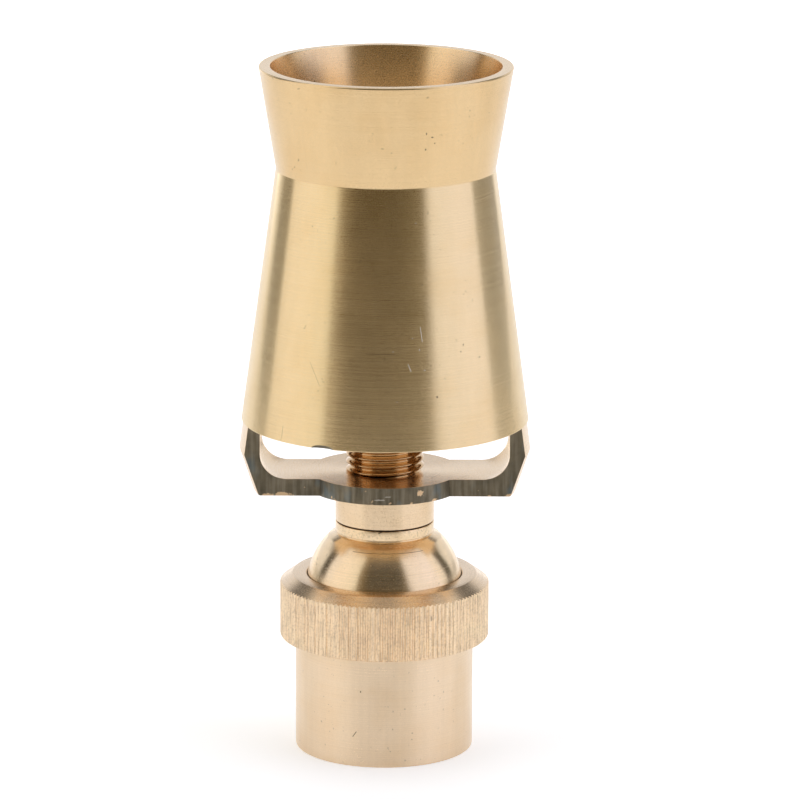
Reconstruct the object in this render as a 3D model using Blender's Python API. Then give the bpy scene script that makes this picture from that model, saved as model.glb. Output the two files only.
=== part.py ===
"""Brass cascade fountain nozzle on a clamped ball joint.

A threaded inlet socket holds a hollow ball between a seat ring and a knurled
clamp nut. The ball carries a threaded riser stem with a jet head, and an open
sleeve on a two-armed bracket screws up and down the stem around the jets.
Metres, +Z up, origin at the centre of the socket's bottom face.
"""

import math

import bmesh
import bpy
from mathutils import Matrix, Vector

MM = 0.001

# Running gaps
TOUCH_GAP = 0.3 * MM
TURNED_GAP = 0.15 * MM
THREAD_GAP = 0.2 * MM
THREAD_BACKING = 0.15 * MM  # a bore or core lies this far behind the thread's root
THREAD_JOIN = 0.7 * MM  # how far a male thread's ring runs into the wall that carries it
OVERLAP = 0.1 * MM

# Inlet socket
SOCKET_R = 15.6 * MM
SOCKET_EDGE = 0.4 * MM
SOCKET_TOP = 27.0 * MM
PIPE_THREAD_R = 13.22 * MM
PIPE_THREAD_DEPTH = 1.16 * MM
PIPE_THREAD_PITCH = 1.814 * MM
PIPE_THREAD_LENGTH = 12.0 * MM
PIPE_THREAD_STOP = 11.0 * MM
WEB_TOP = 14.0 * MM
WEB_BORE_R = 8.0 * MM
BALL_WELL_R = 11.0 * MM
SHELF_Z = 17.0 * MM
SEAT_CAVITY_R = 13.95 * MM
NUT_THREAD_R = 16.4 * MM
NUT_THREAD_DEPTH = 0.9 * MM
NUT_THREAD_PITCH = 1.5 * MM
NUT_THREAD_FOOT = 20.9 * MM

# O-ring in its groove under the seat ring
O_RING_R = 12.4 * MM
O_RING_SECTION_R = 0.65 * MM
O_RING_Z = 16.5 * MM
GROOVE_HALF_WIDTH = 0.8 * MM
GROOVE_Z = 15.7 * MM

# Ball and neck
BALL_R = 13.8 * MM
BALL_Z = 28.3 * MM
BALL_FOOT_R = 6.5 * MM
BALL_SHOULDER_R = 9.75 * MM
BALL_BORE_R = 5.6 * MM
NECK_R = 8.65 * MM
NECK_GROOVE_R = 8.3 * MM
NECK_FOOT = 39.0 * MM
NECK_GROOVE_FOOT = 38.7 * MM
NECK_TOP = 40.75 * MM
STEM_SOCKET_R = 6.85 * MM
STEM_SOCKET_FOOT = 25.6 * MM

# Seat ring below the ball and friction ring above it
SEAT_OUTER_R = SEAT_CAVITY_R - TOUCH_GAP
SEAT_INNER_R = 10.7 * MM
SEAT_LIP_R = 13.0 * MM
RING_INNER_R = 13.95 * MM
RING_OUTER_R = 15.1 * MM
RING_FOOT = SOCKET_TOP + TOUCH_GAP
RING_TOP = 29.4 * MM

# Clamp nut
NUT_R = 18.36 * MM
NUT_TOOTH_DEPTH = 0.35 * MM
NUT_TEETH = 132
NUT_FOOT = 20.0 * MM
NUT_TOP = 31.2 * MM
NUT_CHAMFER_Z = 29.6 * MM
NUT_FLAT_R = 16.1 * MM
NUT_FOOT_EDGE = 0.3 * MM
NUT_MOUTH_R = 13.65 * MM
NUT_LIP_R = 13.9 * MM
NUT_LIP_Z = RING_TOP + TOUCH_GAP
NUT_BORE_R = RING_OUTER_R + THREAD_GAP

# Riser stem
STEM_R = 6.8 * MM
STEM_THREAD_DEPTH = 0.75 * MM
STEM_PITCH = 1.337 * MM
STEM_BORE_R = 4.4 * MM
STEM_SHANK_R = 6.6 * MM
STEM_FOOT = 27.0 * MM
STEM_THREAD_FOOT = 40.6 * MM
STEM_TOP = 65.0 * MM
GASKET_INNER_R = 4.7 * MM
GASKET_HEIGHT = 0.8 * MM

# Jet head
JET_R = 9.0 * MM
JET_FOOT = 59.6 * MM
JET_SHOULDER_Z = 68.0 * MM
JET_TOP = 71.5 * MM
JET_TOP_R = 7.0 * MM
JET_SOCKET_R = STEM_R + THREAD_GAP
JET_CHAMBER_TOP = 67.5 * MM
JET_MAIN_HOLE_R = 2.4 * MM
JET_RING_HOLE_R = 1.0 * MM
JET_RING_R = 4.9 * MM
JET_RING_HOLES = 6
JET_RING_TURN = 0.45  # of a hole's spacing

# Thin washer between the ball's neck and the bracket's hub
WASHER_FOOT = NECK_TOP + 0.06 * MM
WASHER_TOP = 40.94 * MM
WASHER_INNER_R = 7.2 * MM
WASHER_OUTER_R = 8.35 * MM

# Sleeve bracket
HUB_R = NECK_R
HUB_FOOT = 41.0 * MM
PLATE_FOOT = 46.8 * MM
PLATE_TOP = 49.8 * MM
BOSS_R = 13.3 * MM
ARM_HALF_WIDTH = 7.0 * MM
ARM_FOOT_R = 23.0 * MM
ARM_WIDEST_R = 25.4 * MM
ARM_WIDEST_Z = 54.05 * MM
ARM_INNER_R = 22.8 * MM
ARM_FILLET_R = 4.4 * MM
SPIGOT_INNER_R = 21.2 * MM
SPIGOT_TOP = 62.4 * MM
SPIGOT_RAMP_ABOVE = 0.4 * MM
SPIGOT_RAMP_BELOW = 1.1 * MM

# Outer sleeve
SLEEVE_FOOT = 59.2 * MM
SLEEVE_FOOT_R = 25.05 * MM
WAIST_Z = 103.7 * MM
WAIST_R = 19.06 * MM
RIM_Z = 121.55 * MM
RIM_R = 22.03 * MM
SLEEVE_WALL = 2.1 * MM
REGISTER_R = 23.0 * MM
REGISTER_TOP = 62.7 * MM
RIM_EDGE = 0.15 * MM

WIDE_ROUND = 64
ROUND = 48
HIDDEN_ROUND = 36
THREAD_SIDES = 24
WIDE_THREAD_SIDES = 32
HOLE_SIDES = 11
BALL_STEPS = 12
CUP_STEPS = 5
O_RING_SIDES = 8
FILLET_STEPS = 6
SHARP_ANGLE = math.radians(28)


def clear_scene():
    for obj in list(bpy.data.objects):
        bpy.data.objects.remove(obj, do_unlink=True)


def metal(name, colour, roughness):
    return material(name, colour, roughness, 1.0)


def material(name, colour, roughness, metallic=0.0):
    made = bpy.data.materials.new(name)
    made.use_nodes = True
    shader = made.node_tree.nodes["Principled BSDF"]
    shader.inputs["Base Color"].default_value = (*colour, 1.0)
    shader.inputs["Roughness"].default_value = roughness
    shader.inputs["Metallic"].default_value = metallic
    made.diffuse_color = (*colour, 1.0)
    return made


def add_object(name, bm):
    """A mesh object made from bm, its normals facing out."""
    bmesh.ops.recalc_face_normals(bm, faces=bm.faces)
    if bm.calc_volume(signed=True) < 0:
        bmesh.ops.reverse_faces(bm, faces=bm.faces)
    mesh = bpy.data.meshes.new(name)
    bm.to_mesh(mesh)
    bm.free()
    obj = bpy.data.objects.new(name, mesh)
    bpy.context.scene.collection.objects.link(obj)
    return obj


def turned(name, profile, sides=ROUND):
    """The closed outline of (radius, height) points, turned about the Z axis."""
    bm = bmesh.new()
    points = [bm.verts.new((r, 0.0, z)) for r, z in profile]
    edges = [bm.edges.new((a, b)) for a, b in zip(points, points[1:] + points[:1])]
    bmesh.ops.spin(
        bm, geom=points + edges, cent=(0, 0, 0), axis=(0, 0, 1),
        angle=2 * math.pi, steps=sides, use_merge=True,
    )
    return add_object(name, bm)


def arc(centre, radius, start_deg, end_deg, steps):
    """Points along an arc in the (radius, height) plane, both ends included."""
    points = []
    for index in range(steps + 1):
        angle = math.radians(start_deg + (end_deg - start_deg) * index / steps)
        points.append((centre[0] + radius * math.cos(angle), centre[1] + radius * math.sin(angle)))
    return points


def prisms(name, outlines, foot, top):
    """Each closed outline of (x, y) points, standing from foot to top."""
    bm = bmesh.new()
    bases = [bm.faces.new([bm.verts.new((x, y, foot)) for x, y in outline]) for outline in outlines]
    grown = bmesh.ops.extrude_face_region(bm, geom=bases, use_keep_orig=True)["geom"]
    moved = [item for item in grown if isinstance(item, bmesh.types.BMVert)]
    bmesh.ops.translate(bm, verts=moved, vec=(0, 0, top - foot))
    return add_object(name, bm)


def prism(name, outline, foot, top):
    return prisms(name, [outline], foot, top)


def rectangle(half_x, half_y):
    return [(-half_x, -half_y), (half_x, -half_y), (half_x, half_y), (-half_x, half_y)]


def circle(radius, sides, x=0.0, y=0.0):
    angles = [2 * math.pi * i / sides for i in range(sides)]
    return [(x + radius * math.cos(a), y + radius * math.sin(a)) for a in angles]


def threaded_rod(name, crest_r, depth, pitch, foot, top, sides, phase_z=0.0):
    """A right-hand V thread on a solid rod, with flat ends at foot and top.

    Its crest passes +X at the height phase_z, so a nut cut with the same pitch
    and phase_z is in mesh with it.
    """
    bm = bmesh.new()
    first = math.floor((foot - phase_z) / pitch) - 2
    last = math.ceil((top - phase_z) / pitch) + 1
    levels = 2 * (last - first)
    grid = []
    for level in range(levels + 3):
        radius = crest_r if level % 2 == 0 else crest_r - depth
        row = []
        for side in range(sides):
            angle = 2 * math.pi * side / sides
            height = phase_z + pitch * (first + level / 2 + side / sides)
            row.append(bm.verts.new((radius * math.cos(angle), radius * math.sin(angle), height)))
        grid.append(row)
    for level in range(levels):
        low, high = grid[level], grid[level + 1]
        for side in range(sides - 1):
            bm.faces.new((low[side], low[side + 1], high[side + 1], high[side]))
        bm.faces.new((low[-1], grid[level + 2][0], grid[level + 3][0], high[-1]))
    for height, normal in ((foot, (0, 0, -1)), (top, (0, 0, 1))):
        everything = bm.verts[:] + bm.edges[:] + bm.faces[:]
        cut = bmesh.ops.bisect_plane(
            bm, geom=everything, plane_co=(0, 0, height), plane_no=normal, clear_outer=True,
        )["geom_cut"]
        rim = [item for item in cut if isinstance(item, bmesh.types.BMEdge)]
        bmesh.ops.contextual_create(bm, geom=rim)
    return add_object(name, bm)


def boolean(target, other, operation):
    """Cuts or joins target by other, which becomes a hidden helper."""
    step = target.modifiers.new(other.name, "BOOLEAN")
    step.operation = operation
    step.object = other
    other.hide_render = True
    other.display_type = "WIRE"
    return target


def sphere_height(radius, sphere_r=BALL_R):
    """How far from the ball's centre plane a sphere about that centre has this radius."""
    return math.sqrt(sphere_r ** 2 - radius ** 2)


def inlet_socket():
    bore_r = PIPE_THREAD_R - PIPE_THREAD_DEPTH - THREAD_BACKING
    groove_in = O_RING_R - GROOVE_HALF_WIDTH
    groove_out = O_RING_R + GROOVE_HALF_WIDTH
    core_r = NUT_THREAD_R - NUT_THREAD_DEPTH - THREAD_BACKING
    profile = [
        (bore_r, 0.0),
        (SOCKET_R - SOCKET_EDGE, 0.0),
        (SOCKET_R, SOCKET_EDGE),
        (SOCKET_R, NUT_FOOT),
        (core_r, NUT_FOOT + SOCKET_EDGE),
        (core_r, SOCKET_TOP),
        (SEAT_CAVITY_R, SOCKET_TOP),
        (SEAT_CAVITY_R, SHELF_Z),
        (groove_out, SHELF_Z),
        (groove_out, GROOVE_Z),
        (groove_in, GROOVE_Z),
        (groove_in, SHELF_Z),
        (BALL_WELL_R, SHELF_Z),
        (BALL_WELL_R, WEB_TOP),
        (WEB_BORE_R, WEB_TOP),
        (WEB_BORE_R, PIPE_THREAD_LENGTH),
        (bore_r, PIPE_THREAD_LENGTH),
    ]
    socket = turned("inlet_socket", profile)
    thread = threaded_rod(
        "socket_thread", NUT_THREAD_R, NUT_THREAD_DEPTH, NUT_THREAD_PITCH,
        NUT_THREAD_FOOT, SOCKET_TOP - TOUCH_GAP, WIDE_THREAD_SIDES,
    )
    core = prism("socket_thread_core", circle(core_r - THREAD_JOIN, HIDDEN_ROUND), 0.0, SOCKET_TOP + MM)
    boolean(thread, core, "DIFFERENCE")
    boolean(socket, thread, "UNION")
    tap = threaded_rod(
        "pipe_tap", PIPE_THREAD_R, PIPE_THREAD_DEPTH, PIPE_THREAD_PITCH,
        -MM, PIPE_THREAD_STOP, THREAD_SIDES,
    )
    return boolean(socket, tap, "DIFFERENCE")


def seat_o_ring():
    section = circle(O_RING_SECTION_R, O_RING_SIDES, O_RING_R, O_RING_Z)
    return turned("seat_o_ring", section, HIDDEN_ROUND)


def lower_seat_ring():
    cup_r = BALL_R + TURNED_GAP
    foot = SHELF_Z + TOUCH_GAP
    start = -math.degrees(math.acos(SEAT_LIP_R / cup_r))
    end = -math.degrees(math.acos(SEAT_INNER_R / cup_r))
    cup = arc((0.0, BALL_Z), cup_r, start, end, CUP_STEPS)
    profile = [
        (SEAT_INNER_R, foot),
        (SEAT_OUTER_R, foot),
        (SEAT_OUTER_R, cup[0][1]),
    ]
    return turned("lower_seat_ring", profile + cup)


def swivel_ball():
    start = -math.degrees(math.acos(BALL_FOOT_R / BALL_R))
    end = math.degrees(math.acos(BALL_SHOULDER_R / BALL_R))
    profile = [(BALL_BORE_R, BALL_Z - sphere_height(BALL_FOOT_R))]
    profile += arc((0.0, BALL_Z), BALL_R, start, end, BALL_STEPS)
    profile += [
        (NECK_GROOVE_R, NECK_GROOVE_FOOT),
        (NECK_GROOVE_R, NECK_FOOT),
        (NECK_R, NECK_FOOT),
        (NECK_R, NECK_TOP),
        (STEM_SOCKET_R, NECK_TOP),
        (STEM_SOCKET_R, STEM_SOCKET_FOOT),
        (BALL_BORE_R, STEM_SOCKET_FOOT),
    ]
    return turned("swivel_ball", profile)


def stem_gasket():
    foot = STEM_SOCKET_FOOT + TOUCH_GAP
    top = foot + GASKET_HEIGHT
    profile = [
        (GASKET_INNER_R, foot),
        (STEM_SHANK_R, foot),
        (STEM_SHANK_R, top),
        (GASKET_INNER_R, top),
    ]
    return turned("stem_gasket", profile, HIDDEN_ROUND)


def upper_friction_ring():
    profile = [
        (RING_INNER_R, RING_FOOT),
        (RING_OUTER_R, RING_FOOT),
        (RING_OUTER_R, RING_TOP),
        (RING_INNER_R, RING_TOP),
    ]
    return turned("upper_friction_ring", profile)


def knurled_outline():
    """The nut's plan: a flank up to each tooth and a flank down from it."""
    points = []
    for tooth in range(NUT_TEETH):
        for part, radius in ((0.0, NUT_R - NUT_TOOTH_DEPTH), (0.5, NUT_R)):
            angle = 2 * math.pi * (tooth + part) / NUT_TEETH
            points.append((radius * math.cos(angle), radius * math.sin(angle)))
    return points


def clamp_nut():
    widest = NUT_R + OVERLAP
    chamfer_slope = (NUT_TOP - NUT_CHAMFER_Z) / (NUT_R - NUT_FLAT_R)
    envelope = [
        (NUT_BORE_R, NUT_FOOT),
        (NUT_R - NUT_FOOT_EDGE, NUT_FOOT),
        (widest, NUT_FOOT + NUT_FOOT_EDGE),
        (widest, NUT_CHAMFER_Z - chamfer_slope * (widest - NUT_R)),
        (NUT_FLAT_R, NUT_TOP),
        (NUT_MOUTH_R, NUT_TOP),
        (NUT_LIP_R, NUT_LIP_Z),
        (NUT_BORE_R, NUT_LIP_Z),
    ]
    nut = turned("clamp_nut", envelope, WIDE_ROUND)
    knurl = prism("nut_knurl", knurled_outline(), NUT_FOOT - MM, NUT_TOP + MM)
    boolean(nut, knurl, "INTERSECT")
    tap = threaded_rod(
        "nut_tap", NUT_THREAD_R + THREAD_GAP, NUT_THREAD_DEPTH, NUT_THREAD_PITCH,
        NUT_FOOT - MM, SOCKET_TOP, WIDE_THREAD_SIDES,
    )
    return boolean(nut, tap, "DIFFERENCE")


def riser_stem():
    stem = threaded_rod(
        "riser_stem", STEM_R, STEM_THREAD_DEPTH, STEM_PITCH,
        STEM_THREAD_FOOT, STEM_TOP, THREAD_SIDES,
    )
    shank = prism(
        "stem_shank", circle(STEM_SHANK_R, HIDDEN_ROUND), STEM_FOOT, STEM_THREAD_FOOT + OVERLAP,
    )
    boolean(stem, shank, "UNION")
    bore = prism("stem_bore", circle(STEM_BORE_R, HIDDEN_ROUND), STEM_FOOT - MM, STEM_TOP + MM)
    return boolean(stem, bore, "DIFFERENCE")


def jet_head():
    profile = [
        (JET_SOCKET_R, JET_FOOT),
        (JET_R, JET_FOOT),
        (JET_R, JET_SHOULDER_Z),
        (JET_TOP_R, JET_TOP),
        (JET_MAIN_HOLE_R, JET_TOP),
        (JET_MAIN_HOLE_R, JET_CHAMBER_TOP),
        (JET_SOCKET_R, JET_CHAMBER_TOP),
    ]
    head = turned("jet_head", profile, HIDDEN_ROUND)
    outlines = []
    for index in range(JET_RING_HOLES):
        angle = 2 * math.pi * (index + JET_RING_TURN) / JET_RING_HOLES
        x, y = JET_RING_R * math.cos(angle), JET_RING_R * math.sin(angle)
        outlines.append(circle(JET_RING_HOLE_R, HOLE_SIDES, x, y))
    holes = prisms("jet_ring_holes", outlines, JET_CHAMBER_TOP - MM, JET_TOP + MM)
    return boolean(head, holes, "DIFFERENCE")


def hub_washer():
    profile = [
        (WASHER_INNER_R, WASHER_FOOT),
        (WASHER_OUTER_R, WASHER_FOOT),
        (WASHER_OUTER_R, WASHER_TOP),
        (WASHER_INNER_R, WASHER_TOP),
    ]
    return turned("hub_washer", profile, HIDDEN_ROUND)


def sleeve_bracket():
    """A turned cup with a hub, milled away to a round boss and two arms along X."""
    core_r = STEM_R - STEM_THREAD_DEPTH + THREAD_GAP - THREAD_BACKING
    arm_top = SLEEVE_FOOT - TURNED_GAP
    fillet_centre = (ARM_INNER_R - ARM_FILLET_R, PLATE_TOP + ARM_FILLET_R)
    profile = [
        (core_r, HUB_FOOT),
        (HUB_R, HUB_FOOT),
        (HUB_R, PLATE_FOOT),
        (ARM_FOOT_R, PLATE_FOOT),
        (ARM_WIDEST_R, ARM_WIDEST_Z),
        (SLEEVE_FOOT_R, arm_top),
        (ARM_INNER_R, arm_top),
        (ARM_INNER_R, SPIGOT_TOP),
        (SPIGOT_INNER_R, SPIGOT_TOP),
        (SPIGOT_INNER_R, arm_top + SPIGOT_RAMP_ABOVE),
        (ARM_INNER_R, arm_top - SPIGOT_RAMP_BELOW),
    ]
    profile += arc(fillet_centre, ARM_FILLET_R, 0, -90, FILLET_STEPS)
    profile += [(core_r, PLATE_TOP)]
    bracket = turned("sleeve_bracket", profile)
    bar_outline = rectangle(ARM_WIDEST_R + MM, ARM_HALF_WIDTH)
    bar = prism("bracket_bar", bar_outline, HUB_FOOT - MM, SPIGOT_TOP + MM)
    boss = prism("bracket_boss", circle(BOSS_R, ROUND), HUB_FOOT - 2 * MM, SPIGOT_TOP + 2 * MM)
    boolean(bar, boss, "UNION")
    boolean(bracket, bar, "INTERSECT")
    tap = threaded_rod(
        "bracket_tap", STEM_R + THREAD_GAP, STEM_THREAD_DEPTH, STEM_PITCH,
        HUB_FOOT - MM, PLATE_TOP + MM, THREAD_SIDES,
    )
    return boolean(bracket, tap, "DIFFERENCE")


def outer_sleeve():
    skirt_taper = (SLEEVE_FOOT_R - WAIST_R) / (WAIST_Z - SLEEVE_FOOT)
    register_cone_r = SLEEVE_FOOT_R - SLEEVE_WALL - skirt_taper * (REGISTER_TOP - SLEEVE_FOOT)
    profile = [
        (REGISTER_R, SLEEVE_FOOT),
        (SLEEVE_FOOT_R, SLEEVE_FOOT),
        (WAIST_R, WAIST_Z),
        (RIM_R, RIM_Z - RIM_EDGE),
        (RIM_R - RIM_EDGE, RIM_Z),
        (RIM_R - SLEEVE_WALL, RIM_Z),
        (WAIST_R - SLEEVE_WALL, WAIST_Z),
        (register_cone_r, REGISTER_TOP),
        (REGISTER_R, REGISTER_TOP),
    ]
    return turned("outer_sleeve", profile, WIDE_ROUND)


def pivot(name, height, parent=None):
    """An empty on the nozzle's axis that a group of pieces moves with."""
    empty = bpy.data.objects.new(name, None)
    empty.empty_display_size = 5 * MM
    bpy.context.scene.collection.objects.link(empty)
    empty.parent = parent
    empty.location = (0, 0, height - (parent.location.z if parent else 0.0))
    return empty


def place(obj, made_of, group, height):
    """Gives obj its material and hangs it on its group, with its origin at that height."""
    obj.data.transform(Matrix.Translation(Vector((0, 0, -height))))
    obj.data.materials.append(made_of)
    obj.data.shade_smooth()
    obj.data.set_sharp_from_angle(angle=SHARP_ANGLE)
    obj.parent = group


def main():
    clear_scene()
    sleeve_brass = metal("turned_brass_sleeve", (0.79, 0.60, 0.33), 0.28)
    bracket_brass = metal("cast_brass_bracket", (0.30, 0.27, 0.19), 0.5)
    ball_brass = metal("polished_brass_ball", (0.80, 0.62, 0.36), 0.2)
    nut_brass = metal("knurled_brass_nut", (0.80, 0.60, 0.36), 0.38)
    socket_brass = metal("satin_brass_socket", (0.80, 0.62, 0.38), 0.34)
    stem_brass = metal("threaded_brass_stem", (0.74, 0.47, 0.22), 0.22)
    seat_plastic = material("white_seat_plastic", (0.88, 0.87, 0.84), 0.45)
    seal_rubber = material("black_seal_rubber", (0.03, 0.03, 0.03), 0.6)

    socket_group = pivot("socket_pivot", 0.0)
    ball_group = pivot("ball_pivot", BALL_Z, socket_group)
    nut_group = pivot("nut_screw", NUT_FOOT, socket_group)
    sleeve_group = pivot("sleeve_screw", HUB_FOOT, ball_group)

    place(inlet_socket(), socket_brass, socket_group, 0.0)
    place(seat_o_ring(), seal_rubber, socket_group, 0.0)
    place(lower_seat_ring(), seat_plastic, ball_group, BALL_Z)
    place(swivel_ball(), ball_brass, ball_group, BALL_Z)
    place(stem_gasket(), seal_rubber, ball_group, BALL_Z)
    place(riser_stem(), stem_brass, ball_group, BALL_Z)
    place(jet_head(), stem_brass, ball_group, BALL_Z)
    place(upper_friction_ring(), seat_plastic, nut_group, NUT_FOOT)
    place(clamp_nut(), nut_brass, nut_group, NUT_FOOT)
    place(hub_washer(), seal_rubber, sleeve_group, HUB_FOOT)
    place(sleeve_bracket(), bracket_brass, sleeve_group, HUB_FOOT)
    place(outer_sleeve(), sleeve_brass, sleeve_group, HUB_FOOT)


main()
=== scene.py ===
"""Looks of the brass cascade fountain nozzle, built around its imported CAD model.

Every piece is turned, threaded or milled in mesh code where the frame says its
CAD node is, then given a node-based brass, plastic or rubber.
"""

import math

import bmesh
import bpy
import numpy as np
from mathutils import Matrix, Vector


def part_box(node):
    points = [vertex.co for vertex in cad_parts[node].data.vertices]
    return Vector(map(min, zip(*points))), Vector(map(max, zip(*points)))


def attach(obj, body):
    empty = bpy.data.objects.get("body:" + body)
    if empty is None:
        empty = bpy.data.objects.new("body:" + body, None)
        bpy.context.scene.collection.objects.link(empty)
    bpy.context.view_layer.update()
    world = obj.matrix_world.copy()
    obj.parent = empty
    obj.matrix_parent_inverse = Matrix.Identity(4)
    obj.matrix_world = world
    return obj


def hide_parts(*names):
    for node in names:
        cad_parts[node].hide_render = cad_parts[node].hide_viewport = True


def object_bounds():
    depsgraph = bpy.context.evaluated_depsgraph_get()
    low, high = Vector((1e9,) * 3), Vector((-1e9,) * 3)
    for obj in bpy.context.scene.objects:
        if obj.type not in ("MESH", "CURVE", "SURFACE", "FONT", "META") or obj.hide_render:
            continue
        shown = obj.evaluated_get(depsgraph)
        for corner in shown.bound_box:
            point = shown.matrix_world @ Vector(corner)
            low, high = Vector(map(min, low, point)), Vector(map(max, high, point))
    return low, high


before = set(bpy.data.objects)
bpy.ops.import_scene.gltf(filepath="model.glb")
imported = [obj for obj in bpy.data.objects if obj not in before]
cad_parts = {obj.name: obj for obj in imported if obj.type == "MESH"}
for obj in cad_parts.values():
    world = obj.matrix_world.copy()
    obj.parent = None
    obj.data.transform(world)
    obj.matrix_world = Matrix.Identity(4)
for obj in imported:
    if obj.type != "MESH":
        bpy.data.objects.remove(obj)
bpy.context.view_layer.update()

MM = 0.001

# Roundness of the pieces: points round the axis
SLEEVE_SIDES = 288
BRACKET_SIDES = 216
SOCKET_SIDES = 192
BALL_SIDES = 192
STEM_SIDES = 96
HEAD_SIDES = 96
SEAT_SIDES = 96
WASHER_SIDES = 192

# Edges
FINE_EDGE = 0.12 * MM
SOFT_EDGE = 0.3 * MM
EDGE_STEPS = 3
LONGEST_REACH = 0.45
WELD = 0.001 * MM
FLANK_WELD = 0.002 * MM
NORMAL_WEIGHT = 60
SHARP_ANGLE = math.radians(40)
FLANK_SHARP_ANGLE = math.radians(35)

# Threads. Half a pitch is flat at the root and at the crest, by THREAD_FLAT, and sloped between
THREAD_ROWS = 10
THREAD_FLAT = 0.14
THREAD_SLOPE = 0.72
THREAD_RUN_OUT = 0.8 * MM
THREAD_GAP = 0.2 * MM
STEM_PITCH = 1.337 * MM
STEM_THREAD_DEPTH = 0.75 * MM
NUT_PITCH = 1.5 * MM
NUT_THREAD_DEPTH = 0.9 * MM
PIPE_PITCH = 1.814 * MM
PIPE_THREAD_DEPTH = 1.16 * MM

# Sleeve
SLEEVE_FOOT = 57.0 * MM
WAIST_Z = 103.7 * MM
WAIST_R = 19.06 * MM
FLARE_GROWTH = 2.97 * MM
SLEEVE_WALL = 2.0 * MM
REGISTER_R = 23.0 * MM
REGISTER_HEIGHT = 3.5 * MM
NICK_SIZE = (2.1 * MM, 0.7 * MM, 0.65 * MM)
NICK_ANGLE = math.radians(-25.2)

# Bracket
ARM_HALF_WIDTH = 7.0 * MM
BOSS_R = 13.3 * MM
PLATE_FOOT = 46.8 * MM
PLATE_TOP = 49.8 * MM
ARM_FOOT_R = 23.0 * MM
ARM_WIDEST_Z = 54.05 * MM
ARM_INNER_R = 22.8 * MM
ARM_FILLET_R = 4.4 * MM
SPIGOT_INNER_R = 21.2 * MM
SPIGOT_RAMP_ABOVE = 0.4 * MM
SPIGOT_RAMP_BELOW = 1.1 * MM
ARM_TOP_GAP = 0.15 * MM
ARM_TOP_R = 24.75 * MM
FLANK_EDGE = 0.10 * MM
FLANK_FOOT_EDGE = 0.20 * MM
FILLET_STEPS = 16
BOSS_STEPS = 64

# Ball joint
BALL_R = 13.8 * MM
BALL_Z = 28.3 * MM
BALL_FOOT_R = 6.5 * MM
BALL_SHOULDER_R = 9.75 * MM
BALL_BORE_R = 5.6 * MM
NECK_R = 8.65 * MM
NECK_FOOT = 39.0 * MM
NECK_GROOVE_R = 8.3 * MM
NECK_GROOVE_FOOT = 38.7 * MM
STEM_SOCKET_R = 6.85 * MM
STEM_SOCKET_FOOT = 25.6 * MM
BALL_STEPS = 56

# Stem
STEM_BORE_R = 4.4 * MM
STEM_SHANK_R = 6.6 * MM
STEM_THREAD_FOOT = 40.6 * MM

# Jet head
CHAMBER_TOP = 67.5 * MM
HEAD_SHOULDER = 68.0 * MM
HEAD_TOP_R = 7.0 * MM
MAIN_JET_R = 2.4 * MM
JETS = 6
JET_R = 1.0 * MM
JET_CIRCLE_R = 4.9 * MM
JET_SHIFT = 0.45

# Clamp nut. Tooth and valley heights are shares of the tooth depth
NUT_TEETH = 132
NUT_TOOTH_SHAPE = (0.0, 0.10, 0.90, 1.0, 0.90, 0.10)
NUT_TOOTH_POINTS = len(NUT_TOOTH_SHAPE)
NUT_TOOTH_DEPTH = 0.28 * MM
NUT_TOOTH_HEIGHTS = (0.84, 1.0)
NUT_VALLEY_HEIGHTS = (0.0, 0.14)
NUT_WALL_ROWS = 5
NUT_RUNNING_GAP = 0.1 * MM
NUT_CHAMFER_Z = 29.6 * MM
NUT_FLAT_R = 16.1 * MM
NUT_MOUTH_R = 13.65 * MM
NUT_LIP_R = 13.9 * MM
NUT_LIP_Z = 29.7 * MM
NUT_FOOT_EDGE = 0.3 * MM
NUT_SEED = 7

# Inlet socket
SOCKET_R = 15.6 * MM
PIPE_THREAD_R = 13.22 * MM
PIPE_THREAD_STOP = 11.0 * MM
PIPE_BORE_TOP = 12.0 * MM
PIPE_CHAMFER = 1.2 * MM
WEB_TOP = 14.0 * MM
WEB_BORE_R = 8.0 * MM
WELL_R = 11.0 * MM
SHELF_Z = 17.0 * MM
CAVITY_R = 13.95 * MM
GROOVE_MID_R = 12.4 * MM
GROOVE_HALF_WIDTH = 0.8 * MM
GROOVE_Z = 15.7 * MM
SOCKET_RELIEF_SLOPE = 0.4 * MM
SOCKET_RELIEF = 0.9 * MM

# Hidden rings
SEAT_GAP = 0.15 * MM
SEAT_INNER_R = 10.7 * MM
SEAT_TOP_R = 13.0 * MM
SEAT_STEPS = 16
O_RING_R = 0.65 * MM
GASKET_INNER_R = 4.7 * MM
FRICTION_RING_INNER_R = 13.95 * MM
WASHER_INNER_R = 7.2 * MM

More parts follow.
